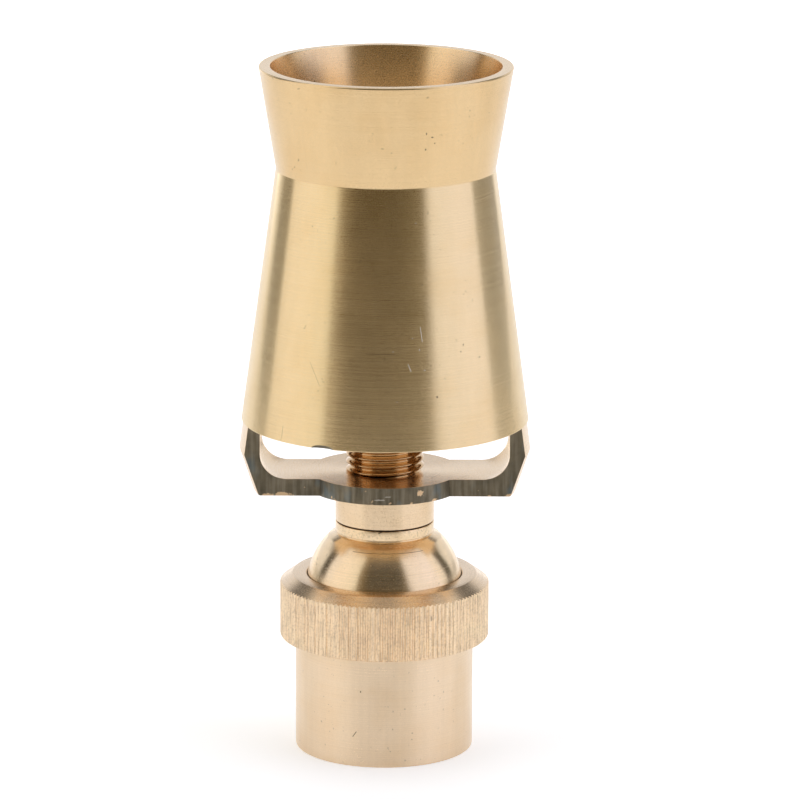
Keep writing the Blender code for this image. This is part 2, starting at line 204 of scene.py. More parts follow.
# Small marks: degrees from the front, height, radius there, length, lean to the right and half width
SLEEVE_SCRATCHES = (
    (16, 79.1 * MM, 22.4 * MM, 2.4 * MM, -6, 0.05 * MM),
    (10.5, 73.5 * MM, 23.1 * MM, 1.3 * MM, -22, 0.05 * MM),
    (3.5, 76.3 * MM, 22.7 * MM, 0.0, 0, 0.09 * MM),
    (12, 78.5 * MM, 22.4 * MM, 0.0, 0, 0.09 * MM),
    (15, 76.5 * MM, 22.7 * MM, 0.1 * MM, 0, 0.08 * MM),
    (17, 73.0 * MM, 23.2 * MM, 0.1 * MM, 90, 0.09 * MM),
    (15, 97.9 * MM, 19.8 * MM, 0.0, 0, 0.08 * MM),
    (5, 67.8 * MM, 23.9 * MM, 0.0, 0, 0.08 * MM),
)
SLEEVE_PITS = (
    (-2, 75.9 * MM, 22.8 * MM, 5.0 * MM, 90, 0.028 * MM),
    (36, 76.6 * MM, 22.7 * MM, 0.2 * MM, 20, 0.08 * MM),
    (34.5, 75.5 * MM, 22.8 * MM, 0.1 * MM, 0, 0.08 * MM),
    (44.5, 74.0 * MM, 23.0 * MM, 0.3 * MM, 60, 0.07 * MM),
    (22, 68.3 * MM, 23.8 * MM, 0.1 * MM, 0, 0.13 * MM),
    (-31, 71.9 * MM, 23.4 * MM, 4.2 * MM, -30, 0.02 * MM),
    (-45, 60.9 * MM, 24.8 * MM, 2.0 * MM, 3, 0.03 * MM),
    (22.5, 112.7 * MM, 20.5 * MM, 0.2 * MM, 90, 0.10 * MM),
    (19.5, 113.4 * MM, 20.7 * MM, 0.2 * MM, 0, 0.09 * MM),
    (19.5, 110.6 * MM, 20.2 * MM, 0.1 * MM, 0, 0.11 * MM),
    (24, 111.6 * MM, 20.4 * MM, 0.1 * MM, 0, 0.08 * MM),
)

# Bare spots on the flanks: place along X, height, half width and half height
FLANK_CHIPS = (
    (-17.6 * MM, 46.9 * MM, 1.5 * MM, 0.55 * MM),
    (-20.2 * MM, 46.9 * MM, 0.9 * MM, 0.25 * MM),
    (6.2 * MM, 48.6 * MM, 0.55 * MM, 0.45 * MM),
    (21.8 * MM, 47.0 * MM, 0.8 * MM, 0.4 * MM),
)
FLANK_SCUFFS = (
    (-0.8 * MM, 47.7 * MM, 0.9 * MM, 0.12 * MM),
    (0.6 * MM, 48.3 * MM, 0.5 * MM, 0.10 * MM),
)

# Small marks again, as for the sleeve
BORE_PITS = (
    (136, 114.5 * MM, 18.8 * MM, 0.1 * MM, 0, 0.14 * MM),
    (-139, 116.0 * MM, 19.0 * MM, 0.1 * MM, 0, 0.11 * MM),
    (-132, 115.5 * MM, 19.0 * MM, 0.1 * MM, 0, 0.10 * MM),
)
BALL_MARKS = (
    (-5, 40.6 * MM, 8.6 * MM, 0.5 * MM, 60, 0.10 * MM),
    (4, 37.3 * MM, 10.5 * MM, 13.0 * MM, 90, 0.035 * MM),
)
KNURL_PITS = ((26.8, 27.3 * MM, 20.7 * MM, 0.5 * MM, 0, 0.2 * MM),)
SOCKET_MARKS = (
    (-15, 13.7 * MM, 15.6 * MM, 0.1 * MM, 0, 0.10 * MM),
    (-19, 5.9 * MM, 15.6 * MM, 1.1 * MM, 35, 0.06 * MM),
)

# Noise scales, per metre. Three numbers stretch the noise, one for each axis
FINE_LINES = 7000.0
BROAD_LINES = 900.0
MICRO_GROOVES = 60000.0
DRAWN_STREAKS = (900.0, 900.0, 14.0)
WARM_PATCHES = 130.0
BRASS_GRAIN = 4200.0
PITS = 1500.0
PIT_GROUPS = 160.0
SPECKLES = 2400.0
KNURL_SCUFFS = (1800.0, 1800.0, 70.0)
KNURL_LINES = (4600.0, 4600.0, 320.0)
KNURL_GRAIN = 2600.0
KNURL_PATCHES = 240.0
TARNISH_STROKES = (1500.0, 700.0, 110.0)
TARNISH_CLOUDS = 260.0
TARNISH_TINTS = (300.0, 300.0, 160.0)
TARNISH_CHIPS = 750.0
CHIP_EDGES = 2200.0

# Colours, and the turn that lays a highlight along the lathe's grooves
GROOVE_TURN = 0.25
WARM_TINT = (0.97, 0.90, 0.78)
PALE_TINT = (1.03, 1.05, 1.10)
DARK_MARK = (0.16, 0.12, 0.07)
BRIGHT_MARK = (0.90, 0.86, 0.76)
BRIGHT_MARK_METAL = 0.1
TARNISH = (0.190, 0.157, 0.104)
TARNISH_DARK = (0.098, 0.083, 0.054)
TARNISH_BLUE = (0.135, 0.165, 0.165)
TARNISH_PALE = (0.310, 0.265, 0.195)
TARNISH_DEEP = (0.064, 0.054, 0.036)
BARE_CHIP = (0.66, 0.46, 0.27)
SCUFFED = (0.42, 0.38, 0.32)


# ---------------------------------------------------------------- mesh tools


def rounded(outline, closed=True):
    """The outline with its corners rounded. A point is (radius, height) or (radius, height, reach).

    A corner's curve takes at most LONGEST_REACH of the lines that meet there.
    """
    points = []
    count = len(outline)
    for index, corner in enumerate(outline):
        reach = corner[2] if len(corner) > 2 else 0.0
        here = np.array(corner[:2])
        open_end = not closed and index in (0, count - 1)
        if reach == 0.0 or open_end:
            points.append(tuple(here))
            continue
        before = np.array(outline[index - 1][:2]) - here
        after = np.array(outline[(index + 1) % count][:2]) - here
        start = here + before * min(reach / np.linalg.norm(before), LONGEST_REACH)
        end = here + after * min(reach / np.linalg.norm(after), LONGEST_REACH)
        for step in range(EDGE_STEPS + 1):
            t = step / EDGE_STEPS
            points.append(tuple((1 - t) ** 2 * start + 2 * t * (1 - t) * here + t * t * end))
    return points


def arc(centre, radius, start_deg, end_deg, steps):
    """Points along an arc in the (radius, height) plane, both ends included."""
    angles = np.radians(np.linspace(start_deg, end_deg, steps + 1))
    return [(centre[0] + radius * math.cos(a), centre[1] + radius * math.sin(a)) for a in angles]


def circle(centre, radius):
    """24 points round a circle, the first one only once."""
    return arc(centre, radius, 0, 345, 23)


def thread_shape(phase):
    """How far out a V thread stands at each phase: 1 on the crest, at phase 0, and 0 in the root."""
    swing = np.abs(2.0 * (phase % 1.0) - 1.0)
    return np.clip((swing - THREAD_FLAT) / THREAD_SLOPE, 0.0, 1.0)


class Shell:
    """One closed piece, collected as strips of faces round the Z axis and then welded."""

    def __init__(self, sides):
        self.sides = sides
        self.angles = 2 * math.pi * np.arange(sides) / sides
        self.points = []
        self.faces = []
        self.slots = []

    def strip(self, radii, heights, seam_shift=0, slot=0):
        """Rows of points, as (rows, sides) grids. A helical grid meets itself seam_shift rows on."""
        first = len(self.points)
        rows = len(radii)
        grid = np.stack([radii * np.cos(self.angles), radii * np.sin(self.angles), heights], axis=2)
        self.points.extend(map(tuple, grid.reshape(-1, 3)))
        for row in range(rows - 1):
            for side in range(self.sides):
                following = (side + 1) % self.sides
                across = row + (seam_shift if following == 0 else 0)
                if across + 1 >= rows:
                    continue
                here = first + side
                there = first + following
                self.faces.append((
                    here + row * self.sides,
                    there + across * self.sides,
                    there + (across + 1) * self.sides,
                    here + (row + 1) * self.sides,
                ))
        self.slots += [slot] * (len(self.faces) - len(self.slots))

    def turn(self, profile):
        """The open line of (radius, height) points, turned about the axis."""
        line = np.array(profile)
        full = np.ones(self.sides)
        self.strip(np.outer(line[:, 0], full), np.outer(line[:, 1], full))

    def thread(self, base_r, depth, pitch, low, high):
        """A right-hand thread between plain rings at low and high, reaching out to base_r + depth."""
        turns = math.ceil((high - low) / pitch) + 2
        row = np.arange(turns * THREAD_ROWS + 1)[:, None]
        share = self.angles[None, :] / (2 * math.pi)
        start = pitch * math.floor(low / pitch - 1)
        heights = np.clip(start + pitch * (row / THREAD_ROWS + share), low, high)
        out = thread_shape(heights / pitch - share)
        ramp = np.minimum(heights - low, high - heights) / THREAD_RUN_OUT
        self.strip(base_r + depth * np.minimum(out, ramp), heights, THREAD_ROWS)

    def join_ring(self, other, radii, inner_r, height):
        """A flat ring from this shell's points at radii to a coarser shell's circle at inner_r."""
        step = self.sides // other.sides
        first = len(self.points)
        for angles, reach in ((self.angles, radii), (other.angles, inner_r)):
            level = np.full(len(angles), height)
            ring = np.stack([reach * np.cos(angles), reach * np.sin(angles), level], axis=1)
            self.points.extend(map(tuple, ring))
        inner = first + self.sides
        for side in range(other.sides):
            following = (side + 1) % other.sides
            outer = [first + (side * step + k) % self.sides for k in range(step, -1, -1)]
            self.faces.append((inner + side, inner + following, *outer))
            self.slots.append(0)

    def take(self, other, slot):
        """Adds the other shell's faces to this one."""
        first = len(self.points)
        self.points += other.points
        self.faces += [tuple(first + corner for corner in face) for face in other.faces]
        self.slots += [slot] * len(other.faces)

    def build(self, name):
        """The piece as an object, its strips welded together."""
        mesh = bpy.data.meshes.new(name)
        mesh.from_pydata(self.points, [], self.faces)
        mesh.polygons.foreach_set("material_index", self.slots)
        bm = bmesh.new()
        bm.from_mesh(mesh)
        bmesh.ops.remove_doubles(bm, verts=bm.verts, dist=WELD)
        return finished(name, bm, mesh)


def finished(name, bm, mesh):
    """A smooth-shaded object from bm, its normals facing out."""
    bmesh.ops.recalc_face_normals(bm, faces=bm.faces)
    if bm.calc_volume(signed=True) < 0:
        bmesh.ops.reverse_faces(bm, faces=bm.faces)
    bm.to_mesh(mesh)
    bm.free()
    mesh.shade_smooth()
    obj = bpy.data.objects.new(name, mesh)
    bpy.context.scene.collection.objects.link(obj)
    return obj


def turned(name, outline, sides):
    """The closed outline, its corners rounded, turned into a solid."""
    profile = rounded(outline)
    shell = Shell(sides)
    shell.turn(profile + profile[:1])
    return shell.build(name)


def prism(name, outline, foot, top):
    """A closed outline of (x, y) points, standing from foot to top."""
    bm = bmesh.new()
    base = bm.faces.new([bm.verts.new((x, y, foot)) for x, y in outline])
    grown = bmesh.ops.extrude_face_region(bm, geom=[base], use_keep_orig=True)["geom"]
    moved = [item for item in grown if isinstance(item, bmesh.types.BMVert)]
    bmesh.ops.translate(bm, verts=moved, vec=(0, 0, top - foot))
    return finished(name, bm, bpy.data.meshes.new(name))


def boolean(target, cutter, operation):
    """Applies the Boolean at once and removes the cutter. The new faces keep the cutter's material."""
    step = target.modifiers.new("cut", "BOOLEAN")
    step.operation = operation
    step.object = cutter
    step.material_mode = "TRANSFER"
    apply_modifiers(target)
    bpy.data.objects.remove(cutter, do_unlink=True)


def apply_modifiers(obj):
    graph = bpy.context.evaluated_depsgraph_get()
    mesh = bpy.data.meshes.new_from_object(obj.evaluated_get(graph))
    obj.modifiers.clear()
    obj.data = mesh


def settle(obj, material, body, node, slot):
    """Gives obj its even shading, place in the frame and, if it has none yet, its material."""
    if material is not None:
        obj.data.materials.clear()
        obj.data.materials.append(material)
    shading = obj.modifiers.new("shading", "WEIGHTED_NORMAL")
    shading.weight = NORMAL_WEIGHT
    shading.keep_sharp = True
    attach(obj, body)
    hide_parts(node)


# ---------------------------------------------------------------- materials


def add_node(tree, kind, inputs=None, **settings):
    """A shader node, its settings made and its inputs set or linked."""
    made = tree.nodes.new(kind)
    for key, value in settings.items():
        setattr(made, key, value)
    for key, value in (inputs or {}).items():
        if isinstance(value, bpy.types.NodeSocket):
            tree.links.new(value, made.inputs[key])
        else:
            made.inputs[key].default_value = value
    return made


def maths(tree, operation, a, b=0.0):
    return add_node(tree, "ShaderNodeMath", {0: a, 1: b}, operation=operation).outputs[0]


def remap(tree, value, low, high, to_low=0.0, to_high=1.0):
    inputs = {"Value": value, "From Min": low, "From Max": high, "To Min": to_low, "To Max": to_high}
    return add_node(tree, "ShaderNodeMapRange", inputs).outputs["Result"]


def mix_colour(tree, share, a, b, blend="MIX"):
    made = add_node(tree, "ShaderNodeMix", data_type="RGBA", blend_type=blend)
    for socket, value in ((made.inputs[0], share), (made.inputs[6], a), (made.inputs[7], b)):
        if isinstance(value, bpy.types.NodeSocket):
            tree.links.new(value, socket)
        elif isinstance(value, tuple):
            socket.default_value = (*value, 1.0)
        else:
            socket.default_value = value
    return made.outputs[2]


def layered(tree, shade, layers):
    """The shade with colours laid over it: each layer is (noise, low, high, share at high, colour)."""
    for texture, low, high, share, colour in layers:
        shade = mix_colour(tree, remap(tree, texture, low, high, 0.0, share), shade, colour)
    return shade


def noise(tree, vector, scale, detail=2.0, dimensions="3D"):
    inputs = {"Scale": scale, "Detail": detail}
    inputs["W" if dimensions == "1D" else "Vector"] = vector
    return add_node(tree, "ShaderNodeTexNoise", inputs, noise_dimensions=dimensions).outputs["Fac"]


def stretched(tree, position, scale):
    """The position with each axis scaled, for noise drawn out into streaks."""
    inputs = {0: position, 1: scale}
    return add_node(tree, "ShaderNodeVectorMath", inputs, operation="MULTIPLY").outputs[0]


def length_of(tree, vector):
    return add_node(tree, "ShaderNodeVectorMath", {0: vector}, operation="LENGTH").outputs["Value"]


def height_of(tree, position):
    return add_node(tree, "ShaderNodeSeparateXYZ", {0: position}).outputs["Z"]


def lathe_line(tree, position):
    """Height plus radius: a number that is the same all along one cut of the lathe tool."""
    radius = length_of(tree, stretched(tree, position, (1.0, 1.0, 0.0)))
    return maths(tree, "ADD", height_of(tree, position), radius)


def tinted(colour, tints):
    return tuple(min(channel * tint, 1.0) for channel, tint in zip(colour, tints))


def scaled(colour, share):
    return tinted(colour, (share, share, share))


def new_material(name):
    made = bpy.data.materials.new(name)
    made.use_nodes = True
    return made, made.node_tree, made.node_tree.nodes["Principled BSDF"]


def object_position(tree):
    return add_node(tree, "ShaderNodeTexCoord").outputs["Object"]


def bumped(tree, height, strength, depth, over=None):
    """The normal bumped by a height, over another bumped normal if one is given."""
    inputs = {"Height": height, "Strength": strength, "Distance": depth}
    if over is not None:
        inputs["Normal"] = over
    return add_node(tree, "ShaderNodeBump", inputs).outputs[0]


def link_looks(tree, shader, colour, roughness, normal):
    for key, value in (("Base Color", colour), ("Roughness", roughness), ("Normal", normal)):
        tree.links.new(value, shader.inputs[key])


def marks(tree, position, spots):
    """Where the small marks of a table lie: 1 on a mark, 0 beside it."""
    x, y, height = add_node(tree, "ShaderNodeSeparateXYZ", {0: position}).outputs
    around = maths(tree, "ARCTAN2", x, maths(tree, "MULTIPLY", y, -1.0))
    found = 0.0
    for degrees, level, radius, length, lean, half_width in spots:
        across = maths(tree, "MULTIPLY", maths(tree, "SUBTRACT", around, math.radians(degrees)), radius)
        up = maths(tree, "SUBTRACT", height, level)
        flat = add_node(tree, "ShaderNodeCombineXYZ", {0: across, 1: up}).outputs[0]
        turn = {"Vector": flat, "Angle": math.radians(lean)}
        flat = add_node(tree, "ShaderNodeVectorRotate", turn, rotation_type="Z_AXIS").outputs[0]
        for operation, value in (("ABSOLUTE", 0.0), ("SUBTRACT", length / 2), ("MAXIMUM", 0.0)):
            inputs = {0: flat, 1: (0.0, value, 0.0)}
            flat = add_node(tree, "ShaderNodeVectorMath", inputs, operation=operation).outputs[0]
        on_mark = remap(tree, length_of(tree, flat), 1.4 * half_width, 0.6 * half_width)
        found = maths(tree, "MAXIMUM", on_mark, found)
    return found


def pitted(tree, position, shade, dark, share):
    """The shade with small pits, gathered in groups."""
    pits = remap(tree, noise(tree, position, PITS, 1.0), 0.70, 0.76)
    groups = remap(tree, noise(tree, position, PIT_GROUPS, 1.0), 0.45, 0.65)
    mask = maths(tree, "MULTIPLY", maths(tree, "MULTIPLY", pits, groups), share)
    return mix_colour(tree, mask, shade, dark)


def speckled(tree, position, shade, dark, level):
    """The shade with a dense dark speckle above a level."""
    above = remap(tree, height_of(tree, position), level - 0.05 * MM, level + 0.05 * MM)
    speckles = remap(tree, noise(tree, position, SPECKLES, 2.0), 0.54, 0.66, 0.0, 0.5)
    return mix_colour(tree, maths(tree, "MULTIPLY", above, speckles), shade, dark)


def turned_brass(
    name, colour, roughness, line_depth=0.5, anisotropic=0.7, pits=0.5, streak=0.35, dark_marks=(),
    bright_marks=(), flare_painted_shade=None, foot_haze=None, speckled_from=None,
):
    """Lathe-turned brass: circular tool lines, faint drawn streaks, warmer patches and a few pits.

    A pair for the roughness is what grooves too fine to be seen swing between. The colour given for the flare
    is
    painted shade: it multiplies the colour above the waist darker, for the dimmer surroundings that part
    reflects.
    foot_haze is the roughness added at the waist and at the foot.
    """
    made, tree, shader = new_material(name)
    position = object_position(tree)
    line = lathe_line(tree, position)
    fine_lines = noise(tree, line, FINE_LINES, 3.0, "1D")
    broad_lines = noise(tree, line, BROAD_LINES, 2.0, "1D")
    streaks = noise(tree, stretched(tree, position, DRAWN_STREAKS), 1.0, 3.0)
    patches = noise(tree, position, WARM_PATCHES, 3.0)
    grain = noise(tree, position, BRASS_GRAIN, 1.0)

    shade = layered(tree, colour, (
        (patches, 0.45, 0.72, 0.5, tinted(colour, WARM_TINT)),
        (broad_lines, 0.3, 0.8, streak, tinted(colour, PALE_TINT)),
        (streaks, 0.35, 0.75, 0.16, scaled(colour, 0.72)),
        (fine_lines, 0.25, 0.75, 0.24, scaled(colour, 0.7)),
        (grain, 0.3, 0.7, 0.14, scaled(colour, 0.7)),
    ))
    shade = pitted(tree, position, shade, scaled(colour, 0.3), pits)
    # Painted shade: the part above the waist is multiplied darker, for the dimmer surroundings it reflects.
    if flare_painted_shade:
        flare = remap(tree, height_of(tree, position), WAIST_Z - 0.1 * MM, WAIST_Z + 0.1 * MM)
        shade = mix_colour(tree, flare, shade, flare_painted_shade, "MULTIPLY")
    if speckled_from:
        shade = speckled(tree, position, shade, scaled(colour, 0.5), speckled_from)
    if dark_marks:
        shade = mix_colour(tree, marks(tree, position, dark_marks), shade, DARK_MARK)
    shader.inputs["Metallic"].default_value = 1.0
    if bright_marks:
        torn = marks(tree, position, bright_marks)
        shade = mix_colour(tree, torn, shade, BRIGHT_MARK)
        tree.links.new(remap(tree, torn, 0.0, 1.0, 1.0, BRIGHT_MARK_METAL), shader.inputs["Metallic"])

    if isinstance(roughness, tuple):
        roughness = remap(tree, noise(tree, line, MICRO_GROOVES, 0.0, "1D"), 0.44, 0.56, *roughness)
    swings = [
        (fine_lines, 0.2, 0.8, -0.04, 0.05),
        (patches, 0.3, 0.7, -0.02, 0.03),
        (grain, 0.3, 0.7, -0.035, 0.035),
    ]
    if foot_haze:
        swings.append((height_of(tree, position), WAIST_Z, SLEEVE_FOOT, *foot_haze))
    for swing in swings:
        roughness = maths(tree, "ADD", roughness, remap(tree, *swing))

    link_looks(tree, shader, shade, roughness, bumped(tree, fine_lines, line_depth, 0.004 * MM))
    shader.inputs["Anisotropic"].default_value = anisotropic
    shader.inputs["Anisotropic Rotation"].default_value = GROOVE_TURN
    tangent = add_node(tree, "ShaderNodeTangent", direction_type="RADIAL", axis="Z")
    tree.links.new(tangent.outputs[0], shader.inputs["Tangent"])
    return made


def knurled_brass(name, colour, roughness):
    """Brass pressed by a knurling wheel: satin, with drawn vertical scuffs and dark dirt in places."""
    made, tree, shader = new_material(name)
    position = object_position(tree)
    scuffs = noise(tree, stretched(tree, position, KNURL_SCUFFS), 1.0, 3.0)
    drawn = noise(tree, stretched(tree, position, KNURL_LINES), 1.0, 2.0)
    grain = noise(tree, position, KNURL_GRAIN, 2.0)
    patches = noise(tree, position, KNURL_PATCHES, 2.0)
    shade = layered(tree, colour, (
        (scuffs, 0.35, 0.75, 0.28, scaled(colour, 0.72)),
        (patches, 0.45, 0.75, 0.4, scaled(colour, 1.1)),
        (drawn, 0.48, 0.68, 0.6, scaled(colour, 0.5)),
        (grain, 0.45, 0.78, 0.5, scaled(colour, 0.45)),
    ))
    shade = mix_colour(tree, marks(tree, position, KNURL_PITS), shade, scaled(colour, 0.45))
    rough = remap(tree, grain, 0.2, 0.8, roughness - 0.06, roughness + 0.08)
    coarse = bumped(tree, grain, 0.5, 0.02 * MM)
    link_looks(tree, shader, shade, rough, bumped(tree, drawn, 0.5, 0.03 * MM, coarse))
    shader.inputs["Metallic"].default_value = 1.0
    return made


def chipped(tree, position, spots):
    """Where the spots of a table lie on the front flanks, each with a ragged edge."""
    x, y, height = add_node(tree, "ShaderNodeSeparateXYZ", {0: position}).outputs
    ragged = remap(tree, noise(tree, position, CHIP_EDGES, 3.0), 0.3, 0.7, -0.45, 0.45)
    found = 0.0
    for place, level, half_width, half_height in spots:
        across = maths(tree, "DIVIDE", maths(tree, "SUBTRACT", x, place), half_width)
        up = maths(tree, "DIVIDE", maths(tree, "SUBTRACT", height, level), half_height)
        reach = length_of(tree, add_node(tree, "ShaderNodeCombineXYZ", {0: across, 1: up}).outputs[0])
        found = maths(tree, "MAXIMUM", remap(tree, maths(tree, "ADD", reach, ragged), 1.1, 0.9), found)
    return maths(tree, "MULTIPLY", found, maths(tree, "LESS_THAN", y, 0.0))


def tarnished_brass(name):
    """The bracket's milled flanks: brown-grey tarnish with upright strokes, blue tints and bright chips."""
    made, tree, shader = new_material(name)
    position = object_position(tree)
    strokes = noise(tree, stretched(tree, position, TARNISH_STROKES), 1.0, 4.0)
    clouds = noise(tree, position, TARNISH_CLOUDS, 4.0)
    tints = noise(tree, stretched(tree, position, TARNISH_TINTS), 1.0, 3.0)
    more_low_down = remap(tree, height_of(tree, position), PLATE_FOOT, PLATE_FOOT + 0.9 * MM, 0.085, 0.0)
    chips = maths(tree, "ADD", noise(tree, position, TARNISH_CHIPS, 2.0), more_low_down)
    shade = layered(tree, TARNISH, (
        (clouds, 0.35, 0.68, 1.0, TARNISH_DARK),
        (tints, 0.56, 0.72, 0.8, TARNISH_BLUE),
        (strokes, 0.45, 0.75, 0.5, TARNISH_PALE),
        (strokes, 0.38, 0.22, 0.6, TARNISH_DEEP),
        (chips, 0.72, 0.75, 1.0, BARE_CHIP),
    ))
    shade = mix_colour(tree, chipped(tree, position, FLANK_CHIPS), shade, BARE_CHIP)
    shade = mix_colour(tree, chipped(tree, position, FLANK_SCUFFS), shade, SCUFFED)
    rough = remap(tree, strokes, 0.3, 0.7, 0.50, 0.38)
    link_looks(tree, shader, shade, rough, bumped(tree, strokes, 0.6, 0.02 * MM))
    shader.inputs["Metallic"].default_value = 0.85
    return made


def moulded(name, colour, roughness, grain_scale):
    """Plain moulded plastic, fibre or rubber with a fine grain."""
    made, tree, shader = new_material(name)
    grain = noise(tree, object_position(tree), grain_scale, 2.0)
    shade = mix_colour(tree, remap(tree, grain, 0.3, 0.7), colour, scaled(colour, 0.85))
    rough = remap(tree, grain, 0.3, 0.7, roughness - 0.05, roughness + 0.05)
    link_looks(tree, shader, shade, rough, bumped(tree, grain, 0.3, 0.01 * MM))
    return made


# ------------------------------------------------------------------- pieces


def outer_sleeve(brass, bore_brass, nick_painted_shade):
    """The turned sleeve: a long cone, a waist and a short flare, with a nick in its foot.

    The nick is cut in, so real shade falls in it, and its cut faces also take the dark tarnished brass as
    painted shade.
    """
    low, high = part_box("outer_sleeve")
    foot, rim, foot_r = low.z, high.z, high.x
    rim_r = WAIST_R + FLARE_GROWTH
    taper = (foot_r - WAIST_R) / (WAIST_Z - foot)
    register_top = foot + REGISTER_HEIGHT
    cone_r = foot_r - SLEEVE_WALL - taper * REGISTER_HEIGHT
    outline = [
        (REGISTER_R, foot, FINE_EDGE),
        (foot_r, foot, FINE_EDGE),
        (WAIST_R, WAIST_Z, FINE_EDGE),
        (rim_r, rim, SOFT_EDGE),
        (rim_r - SLEEVE_WALL, rim, FINE_EDGE),
        (WAIST_R - SLEEVE_WALL, WAIST_Z, SOFT_EDGE),
        (cone_r, register_top, FINE_EDGE),
        (REGISTER_R, register_top, FINE_EDGE),
    ]
    sleeve = turned("sleeve", outline, SLEEVE_SIDES)
    sleeve.data.materials.append(brass)
    sleeve.data.materials.append(bore_brass)
    for face in sleeve.data.polygons:
        outward = Vector((face.center.x, face.center.y)).normalized()
        faces_axis = outward.dot(face.normal.xy) < -0.5
        face.material_index = 1 if faces_axis else 0
    # Painted shade: the nick's cut faces take the dark tarnished brass, on top of the real shade of the
    # recess.
    nick = ellipsoid("nick", NICK_SIZE)
    nick.data.materials.append(nick_painted_shade)
    nick.data.transform(Matrix.Translation((0.0, -foot_r, foot)))
    nick.data.transform(Matrix.Rotation(NICK_ANGLE, 4, "Z"))
    boolean(sleeve, nick, "DIFFERENCE")
    sleeve.data.set_sharp_from_angle(angle=SHARP_ANGLE)
    return sleeve


def ellipsoid(name, half_sizes):
    bm = bmesh.new()
    bmesh.ops.create_icosphere(bm, subdivisions=3, radius=1.0)
    bmesh.ops.scale(bm, verts=bm.verts, vec=half_sizes)
    return finished(name, bm, bpy.data.meshes.new(name))


def sleeve_bracket(brass, tarnish, bright_edge):
    """A turned cup with a hub, milled away to a round boss and two arms along X."""
    low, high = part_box("sleeve_bracket")
    foot, spigot_top, widest_r = low.z, high.z, high.x
    arm_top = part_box("outer_sleeve")[0].z - ARM_TOP_GAP
    stem_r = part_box("riser_stem")[1].x
    minor_r = stem_r - STEM_THREAD_DEPTH + THREAD_GAP
    fillet_centre = (ARM_INNER_R - ARM_FILLET_R, PLATE_TOP + ARM_FILLET_R)
    outline = [
        (minor_r, foot),
        (NECK_R, foot, FINE_EDGE),
        (NECK_R, PLATE_FOOT, FINE_EDGE),
        (ARM_FOOT_R, PLATE_FOOT, SOFT_EDGE),
        (widest_r, ARM_WIDEST_Z, FINE_EDGE),
        (ARM_TOP_R, arm_top, FINE_EDGE),
        (ARM_INNER_R, arm_top),
        (ARM_INNER_R, spigot_top, FINE_EDGE),
        (SPIGOT_INNER_R, spigot_top, FINE_EDGE),
        (SPIGOT_INNER_R, arm_top + SPIGOT_RAMP_ABOVE, SOFT_EDGE),
        (ARM_INNER_R, arm_top - SPIGOT_RAMP_BELOW, SOFT_EDGE),
    ]
    outline += arc(fillet_centre, ARM_FILLET_R, 0, -90, FILLET_STEPS)
    outline += [(minor_r, PLATE_TOP)]
    shell = Shell(BRACKET_SIDES)
    shell.turn(rounded(outline, closed=False))
    shell.thread(minor_r, STEM_THREAD_DEPTH, STEM_PITCH, foot, PLATE_TOP)
    bracket = shell.build("bracket")
    bracket.data.materials.append(brass)
    plan = prism("plan", bracket_plan(widest_r + MM), foot - MM, spigot_top + MM)
    plan.data.materials.append(tarnish)
    boolean(bracket, plan, "INTERSECT")
    soften_flanks(bracket, bright_edge)
    return bracket


def bracket_plan(reach):
    """The bracket seen from above: a bar along X with a round boss in the middle."""
    meet = math.degrees(math.asin(ARM_HALF_WIDTH / BOSS_R))
    front = arc((0.0, 0.0), BOSS_R, meet - 180, -meet, BOSS_STEPS)
    back = arc((0.0, 0.0), BOSS_R, meet, 180 - meet, BOSS_STEPS)
    right = [(reach, -ARM_HALF_WIDTH), (reach, ARM_HALF_WIDTH)]
    left = [(-reach, ARM_HALF_WIDTH), (-reach, -ARM_HALF_WIDTH)]
    return front + right + back + left


def soften_flanks(bracket, bright_edge):
    """Bevels the line where tarnished flanks meet turned faces, and leaves it bright."""
    bracket.data.materials.append(bright_edge)
    bright_index = len(bracket.data.materials) - 1
    bm = bmesh.new()
    bm.from_mesh(bracket.data)
    bmesh.ops.remove_doubles(bm, verts=bm.verts, dist=FLANK_WELD)
    rims = [
        edge for edge in bm.edges
        if len(edge.link_faces) == 2 and len({face.material_index for face in edge.link_faces}) == 2
    ]
    foot_limit = PLATE_FOOT + FLANK_FOOT_EDGE
    below = [edge for edge in rims if max(corner.co.z for corner in edge.verts) < foot_limit]
    above = [edge for edge in rims if edge not in set(below)]
    for edges, width in ((below, FLANK_FOOT_EDGE), (above, FLANK_EDGE)):
        bmesh.ops.bevel(
            bm, geom=[edge for edge in edges if edge.is_valid], offset=width, offset_type="OFFSET",
            segments=2, profile=0.5, affect="EDGES", clamp_overlap=True, material=bright_index,
        )
    bm.to_mesh(bracket.data)
    bm.free()
    bracket.data.shade_smooth()
    bracket.data.set_sharp_from_angle(angle=FLANK_SHARP_ANGLE)


def swivel_ball(brass):
    """The hollow ball with its necked ring; the stem's lower end sits inside it."""
    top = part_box("swivel_ball")[1].z
    foot_drop = math.sqrt(BALL_R ** 2 - BALL_FOOT_R ** 2)
    start = -math.degrees(math.acos(BALL_FOOT_R / BALL_R))
    end = math.degrees(math.acos(BALL_SHOULDER_R / BALL_R))
    outline = [(BALL_BORE_R, BALL_Z - foot_drop)]
    outline += arc((0.0, BALL_Z), BALL_R, start, end, BALL_STEPS)
    outline += [
        (NECK_GROOVE_R, NECK_GROOVE_FOOT, FINE_EDGE),
        (NECK_GROOVE_R, NECK_FOOT),
        (NECK_R, NECK_FOOT, FINE_EDGE),
        (NECK_R, top, FINE_EDGE),
        (STEM_SOCKET_R, top, FINE_EDGE),
        (STEM_SOCKET_R, STEM_SOCKET_FOOT),
        (BALL_BORE_R, STEM_SOCKET_FOOT),
    ]
    ball = turned("ball", outline, BALL_SIDES)
    ball.data.materials.append(brass)
    return ball


